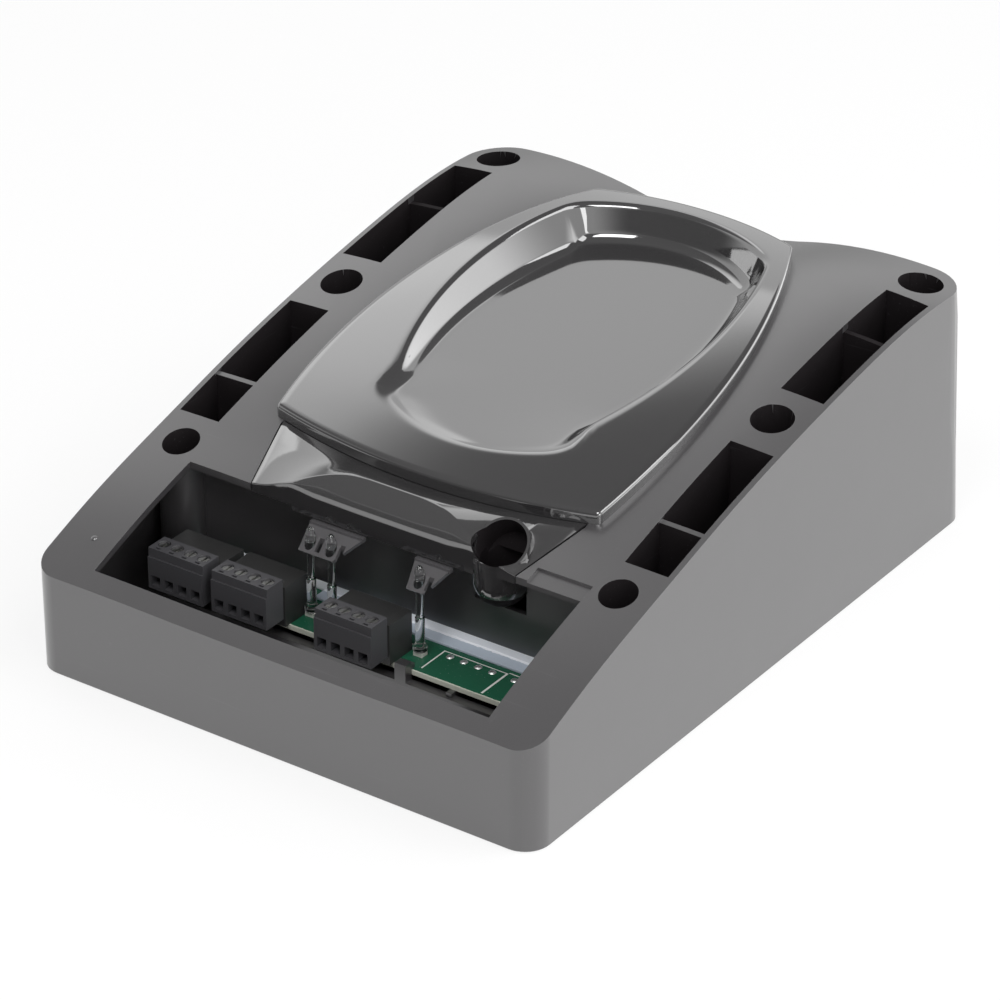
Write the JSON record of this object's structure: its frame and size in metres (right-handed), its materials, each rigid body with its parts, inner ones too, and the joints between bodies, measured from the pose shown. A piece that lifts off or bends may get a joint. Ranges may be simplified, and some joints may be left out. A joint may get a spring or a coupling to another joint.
{
  "type": "beam smoke detector",
  "caption": "Reflected beam smoke detector head with its trim cover off, open wiring bay and aimable optics.",
  "frame": {"origin": "centre of the back face that lies on the wall", "axes": "+Z away from the wall, +Y from the wiring bay to the thick lens end, +X to the right"},
  "size_m": [0.1844, 0.246, 0.0902],
  "materials": {
    "chassis_plastic": "semi-gloss black ABS with a fine spark texture",
    "gloss_cover": "polished black, passes infrared",
    "board_laminate": "green solder mask",
    "foam": "pale closed-cell foam",
    "terminal_plastic": "black polyamide",
    "screw_steel": "zinc-plated steel",
    "contact_metal": "tinned metal",
    "clear_plastic": "clear polycarbonate",
    "lamp_body": "white lamp body",
    "bracket_plastic": "dark grey ABS",
    "switch_plastic": "black polyester",
    "slider_plastic": "white nylon",
    "mechanism_plastic": "black glass-filled nylon",
    "optical_acrylic": "clear acrylic lens",
    "mirror_glass": "front-silvered",
    "dial_plastic": "natural acetal"
  },
  "bodies": {
    "housing": {"chassis": "chassis_plastic", "lens_cover": "gloss_cover", "apron": "gloss_cover", "back_plate": "chassis_plastic", "housing_screws": "screw_steel", "main_board": "board_laminate", "board_gasket": "foam", "board_screws": "screw_steel", "terminal_header_1": "terminal_plastic", "terminal_header_2": "terminal_plastic", "terminal_header_3": "terminal_plastic", "header_pins": "contact_metal", "light_pipe_fault": "clear_plastic", "light_pipe_alarm": "clear_plastic", "light_pipe_normal": "clear_plastic", "status_lamps": "lamp_body", "light_pipe_bracket_pair": "bracket_plastic", "light_pipe_bracket_single": "bracket_plastic", "reset_switch": "switch_plastic", "dip_switch": "switch_plastic", "gain_control": "switch_plastic", "pan_pivot_pins": "screw_steel"},
    "plug_1": {"terminal_plug_1": "terminal_plastic", "terminal_screws_1": "screw_steel"},
    "plug_2": {"terminal_plug_2": "terminal_plastic", "terminal_screws_2": "screw_steel"},
    "plug_3": {"terminal_plug_3": "terminal_plastic", "terminal_screws_3": "screw_steel"},
    "reset_button": {"reset_plunger": "switch_plastic"},
    "dip_lever_1": {"dip_slider_1": "slider_plastic"},
    "dip_lever_2": {"dip_slider_2": "slider_plastic"},
    "dip_lever_3": {"dip_slider_3": "slider_plastic"},
    "dip_lever_4": {"dip_slider_4": "slider_plastic"},
    "gain_dial": {"gain_rotor": "slider_plastic"},
    "pan_ring": {"pan_frame": "mechanism_plastic", "tilt_pivot_pins": "screw_steel"},
    "optics": {"optical_block": "mechanism_plastic", "receiver_lens": "optical_acrylic", "transmitter_lens": "optical_acrylic", "optics_board": "board_laminate", "photodiode": "contact_metal", "infrared_emitter": "contact_metal", "mirror_wedge": "mechanism_plastic", "sight_mirror": "mirror_glass"},
    "pan_dial": {"pan_wheel": "dial_plastic"},
    "tilt_dial": {"tilt_wheel": "dial_plastic"}
  },
  "joints": [
    {"name": "optics_pan", "type": "hinge", "parent": "housing", "child": "pan_ring", "pos_m": [0, 0.033, 0.034], "axis": [0, 1, 0], "range_deg": [-10, 10]},
    {"name": "optics_tilt", "type": "hinge", "parent": "pan_ring", "child": "optics", "pos_m": [0, 0.033, 0.034], "axis": [1, 0, 0], "range_deg": [-10, 10]},
    {"name": "pan_dial_turn", "type": "hinge", "parent": "housing", "child": "pan_dial", "pos_m": [-0.06, 0.053, 0.034], "axis": [0, 1, 0], "range_deg": [-40, 40]},
    {"name": "tilt_dial_turn", "type": "hinge", "parent": "pan_ring", "child": "tilt_dial", "pos_m": [0.045, 0.059, 0.034], "axis": [1, 0, 0], "range_deg": [-33.33, 33.33]},
    {"name": "plug_1_pull", "type": "slide", "parent": "housing", "child": "plug_1", "axis": [0, -1, 0], "range_m": [0, 0.01]},
    {"name": "plug_2_pull", "type": "slide", "parent": "housing", "child": "plug_2", "axis": [0, -1, 0], "range_m": [0, 0.01]},
    {"name": "plug_3_pull", "type": "slide", "parent": "housing", "child": "plug_3", "axis": [0, -1, 0], "range_m": [0, 0.01]},
    {"name": "reset_press", "type": "slide", "parent": "housing", "child": "reset_button", "axis": [0, 0, -1], "range_m": [0, 0.0006], "stiffness_N_per_m": 1500, "springref_m": -0.0003},
    {"name": "dip_1_slide", "type": "slide", "parent": "housing", "child": "dip_lever_1", "axis": [0, 1, 0], "range_m": [0, 0.002]},
    {"name": "dip_2_slide", "type": "slide", "parent": "housing", "child": "dip_lever_2", "axis": [0, 1, 0], "range_m": [0, 0.002]},
    {"name": "dip_3_slide", "type": "slide", "parent": "housing", "child": "dip_lever_3", "axis": [0, 1, 0], "range_m": [0, 0.002]},
    {"name": "dip_4_slide", "type": "slide", "parent": "housing", "child": "dip_lever_4", "axis": [0, 1, 0], "range_m": [0, 0.002]},
    {"name": "gain_turn", "type": "hinge", "parent": "housing", "child": "gain_dial", "pos_m": [-0.034, -0.068, 0.02], "axis": [0, 0, 1], "range_deg": [-135, 135]}
  ],
  "couplings": [
    {"joint": "pan_dial_turn", "follows": "optics_pan", "ratio": -4},
    {"joint": "tilt_dial_turn", "follows": "optics_tilt", "ratio": -3.3333}
  ]
}
